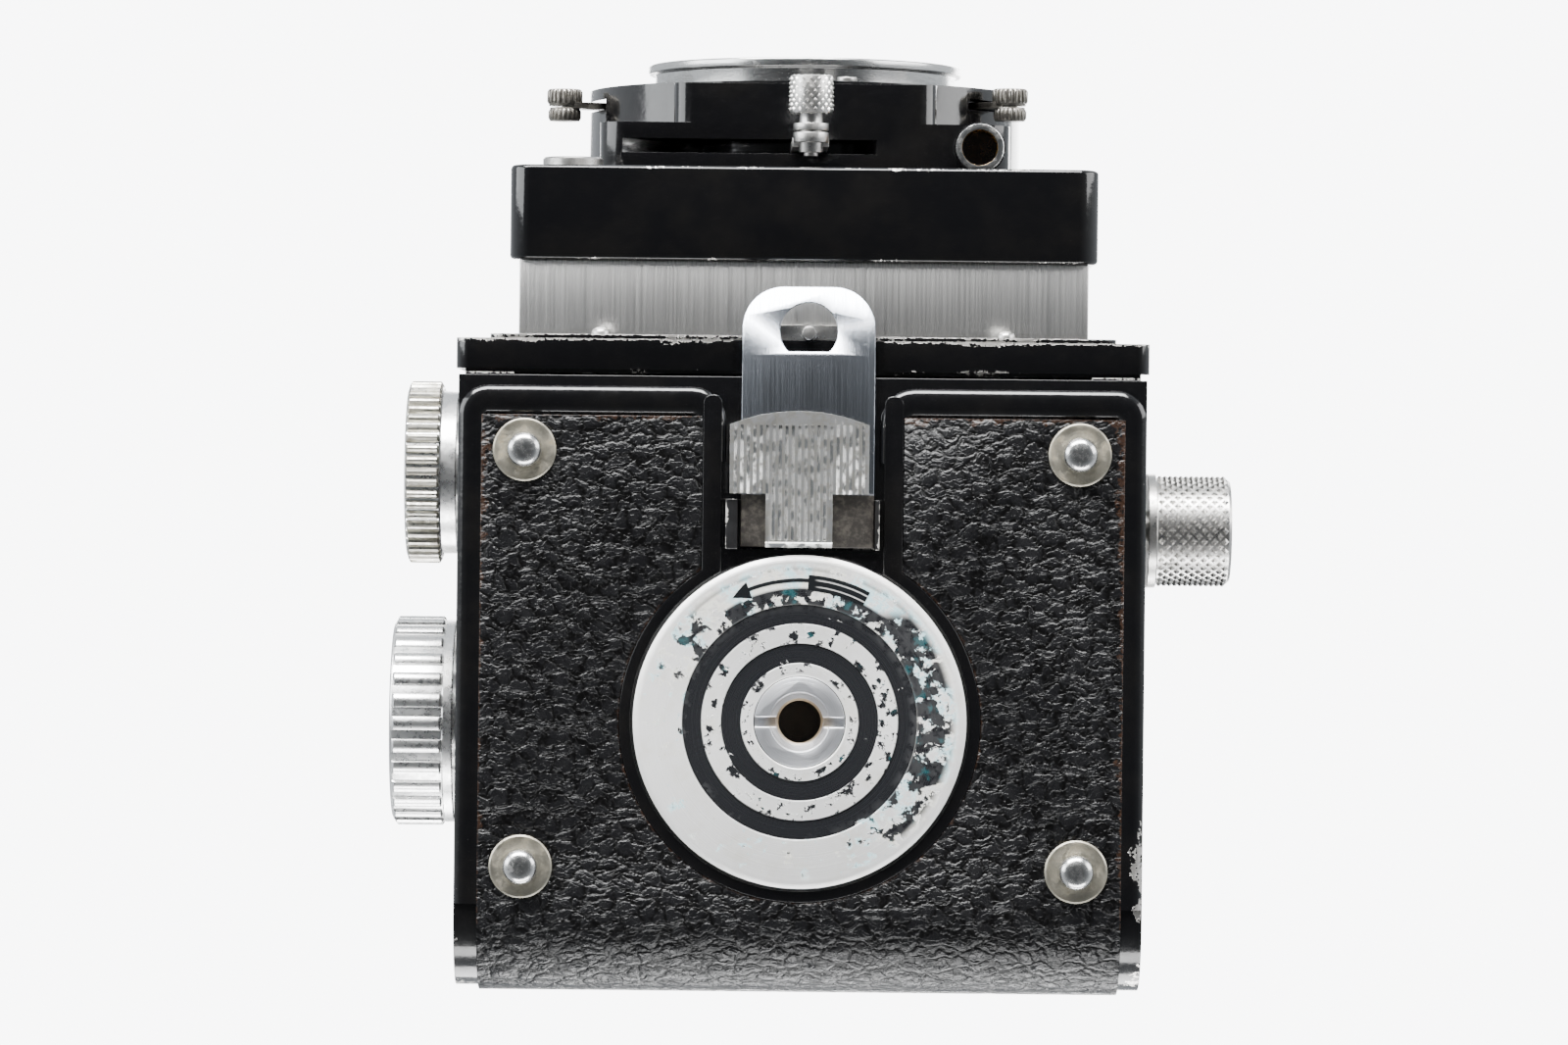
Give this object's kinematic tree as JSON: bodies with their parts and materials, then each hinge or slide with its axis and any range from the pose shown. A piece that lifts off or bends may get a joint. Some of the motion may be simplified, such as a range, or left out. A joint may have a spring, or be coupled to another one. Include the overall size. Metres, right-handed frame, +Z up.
{
  "type": "twin lens reflex camera",
  "caption": "Roll film camera with two stacked lenses, a folding viewing hood on top and a hinged back whose underside carries a tripod socket.",
  "frame": {"origin": "centre of the tripod socket's mouth in the underside of the back door", "axes": "+Z up towards the viewing hood, -Y to the front where the lenses point, +X to the side with the spool knob"},
  "size_m": [0.0962, 0.1045, 0.1357],
  "materials": {
    "black_enamel": "gloss black enamel with worn edges",
    "leather": "black pebbled leather",
    "bright_chrome": "bright, scuffed",
    "nickel_steel": "satin nickel",
    "dull_black": "matte black",
    "mirror": "front silvered",
    "screen_glass": "ground glass",
    "satin_aluminium": "satin, turned",
    "brushed_aluminium": "brushed",
    "brass": "turned",
    "lens_glass": "coated glass",
    "spool_metal": "black"
  },
  "bodies": {
    "body": {"body_casting": "black_enamel", "side_leathers": "leather", "strap_lugs": "bright_chrome", "front_frame": "black_enamel", "frame_plate": "black_enamel", "frame_screws": "nickel_steel", "catch_stud": "nickel_steel", "light_chamber": "dull_black", "film_gate": "dull_black", "mirror_holder": "dull_black", "viewing_mirror": "mirror", "focusing_screen": "screen_glass", "screen_frame": "dull_black", "spool_pivots": "nickel_steel", "door_hinge_pin": "nickel_steel", "hood_base": "black_enamel"},
    "back_door": {"door_shell": "black_enamel", "door_leather": "leather", "foot_washers": "nickel_steel", "foot_rivets": "nickel_steel", "tripod_plate": "dull_black", "tripod_bush": "satin_aluminium", "pressure_spring": "nickel_steel"},
    "lock_disc": {"lock_disc": "satin_aluminium"},
    "latch_slide": {"latch_slide": "dull_black"},
    "latch_tongue": {"latch_tongue": "nickel_steel", "latch_thumb_piece": "nickel_steel"},
    "pressure_plate": {"pressure_plate": "dull_black"},
    "lens_standard": {"lens_standard": "brushed_aluminium", "lens_board": "black_enamel", "board_cover_disc": "nickel_steel", "shutter_housing": "black_enamel", "housing_screw": "nickel_steel", "flash_socket": "brass", "accessory_rings": "bright_chrome", "lens_barrel": "dull_black", "taking_lens": "lens_glass", "iris_diaphragm": "dull_black", "viewing_bezel": "black_enamel", "viewing_lens": "lens_glass"},
    "cocking_lever": {"cocking_lever": "bright_chrome"},
    "aperture_lever": {"aperture_lever": "bright_chrome"},
    "speed_lever": {"speed_lever": "bright_chrome"},
    "wind_knob": {"wind_knob": "satin_aluminium", "wind_shaft": "nickel_steel"},
    "take_up_spool": {"take_up_gear": "brass", "take_up_spool": "spool_metal"},
    "supply_spool": {"supply_spool": "spool_metal"},
    "spool_pull_knob": {"spool_pull_knob": "nickel_steel"},
    "focus_knob": {"focus_knob": "bright_chrome", "focus_shaft": "nickel_steel"},
    "lower_roller": {"lower_roller": "nickel_steel"},
    "upper_roller": {"upper_roller": "nickel_steel"},
    "hood_lid": {"hood_lid": "black_enamel"},
    "left_flap": {"left_flap": "dull_black"},
    "right_flap": {"right_flap": "dull_black"},
    "back_flap": {"back_flap": "dull_black"},
    "magnifier": {"magnifier_frame": "dull_black", "magnifier_lens": "lens_glass"}
  },
  "joints": [
    {"name": "door_hinge", "type": "hinge", "parent": "body", "child": "back_door", "pos_m": [0, 0.029, 0.1125], "axis": [1, 0, 0], "range_deg": [0, 110]},
    {"name": "lock_disc_turn", "type": "hinge", "parent": "back_door", "child": "lock_disc", "pos_m": [0, 0, 0], "axis": [0, 0, 1], "range_deg": [0, 75]},
    {"name": "latch_slide", "type": "slide", "parent": "back_door", "child": "latch_slide", "axis": [0, -1, 0], "range_m": [0, 0.002]},
    {"name": "latch_lift", "type": "hinge", "parent": "latch_slide", "child": "latch_tongue", "pos_m": [0.0006, -0.0189, 0.0008], "axis": [1, 0, 0], "range_deg": [0, 25]},
    {"name": "pressure_plate_spring", "type": "slide", "parent": "back_door", "child": "pressure_plate", "axis": [0, 1, 0], "range_m": [0, 0.0008], "stiffness_N_per_m": 400, "springref_m": -0.001},
    {"name": "lens_standard_slide", "type": "slide", "parent": "body", "child": "lens_standard", "axis": [0, -1, 0], "range_m": [-0.0062, 0]},
    {"name": "focus_knob_turn", "type": "hinge", "parent": "body", "child": "focus_knob", "pos_m": [0, -0.027, 0.0652], "axis": [-1, 0, 0], "range_deg": [-255, 0]},
    {"name": "cocking_lever_turn", "type": "hinge", "parent": "lens_standard", "child": "cocking_lever", "pos_m": [0, -0.0632, 0.046], "axis": [0, -1, 0], "range_deg": [-30, 9], "stiffness_Nm_per_rad": 0.02},
    {"name": "aperture_lever_turn", "type": "hinge", "parent": "lens_standard", "child": "aperture_lever", "pos_m": [0, -0.0686, 0.046], "axis": [0, -1, 0], "range_deg": [-31, 4]},
    {"name": "speed_lever_turn", "type": "hinge", "parent": "lens_standard", "child": "speed_lever", "pos_m": [0, -0.0686, 0.046], "axis": [0, -1, 0], "range_deg": [-3, 33]},
    {"name": "wind_knob_turn", "type": "hinge", "parent": "body", "child": "wind_knob", "pos_m": [0, 0.003, 0.089], "axis": [-1, 0, 0], "continuous": true},
    {"name": "take_up_spool_turn", "type": "hinge", "parent": "body", "child": "take_up_spool", "pos_m": [0, 0.0136, 0.089], "axis": [-1, 0, 0], "continuous": true},
    {"name": "supply_spool_turn", "type": "hinge", "parent": "body", "child": "supply_spool", "pos_m": [0, -0.021, 0.0158], "axis": [1, 0, 0], "continuous": true},
    {"name": "spool_knob_pull", "type": "slide", "parent": "body", "child": "spool_pull_knob", "axis": [1, 0, 0], "range_m": [0, 0.006]},
    {"name": "lower_roller_turn", "type": "hinge", "parent": "body", "child": "lower_roller", "pos_m": [0, 0.0222, 0.015], "axis": [1, 0, 0], "continuous": true},
    {"name": "upper_roller_turn", "type": "hinge", "parent": "body", "child": "upper_roller", "pos_m": [0, 0.0222, 0.077], "axis": [1, 0, 0], "continuous": true},
    {"name": "hood_lid_hinge", "type": "hinge", "parent": "body", "child": "hood_lid", "pos_m": [0, -0.0352, 0.1332], "axis": [1, 0, 0], "range_deg": [0, 90]},
    {"name": "left_flap_hinge", "type": "hinge", "parent": "body", "child": "left_flap", "pos_m": [-0.03, 0, 0.1229], "axis": [0, -1, 0], "range_deg": [0, 90]},
    {"name": "right_flap_hinge", "type": "hinge", "parent": "body", "child": "right_flap", "pos_m": [0.03, 0, 0.1229], "axis": [0, 1, 0], "range_deg": [0, 90]},
    {"name": "back_flap_hinge", "type": "hinge", "parent": "body", "child": "back_flap", "pos_m": [0, 0.024, 0.1282], "axis": [-1, 0, 0], "range_deg": [0, 90]},
    {"name": "magnifier_hinge", "type": "hinge", "parent": "hood_lid", "child": "magnifier", "pos_m": [0, -0.0042, 0.1324], "axis": [1, 0, 0], "range_deg": [-90, 0]}
  ],
  "couplings": [
    {"joint": "latch_slide", "follows": "lock_disc_turn", "m_per_rad": 0.0015279},
    {"joint": "focus_knob_turn", "follows": "lens_standard_slide", "rad_per_m": 714.29},
    {"joint": "take_up_spool_turn", "follows": "wind_knob_turn", "ratio": -1},
    {"joint": "left_flap_hinge", "follows": "hood_lid_hinge", "ratio": 1},
    {"joint": "right_flap_hinge", "follows": "hood_lid_hinge", "ratio": 1},
    {"joint": "back_flap_hinge", "follows": "hood_lid_hinge", "ratio": 1},
    {"joint": "magnifier_hinge", "follows": "hood_lid_hinge", "ratio": -1}
  ]
}
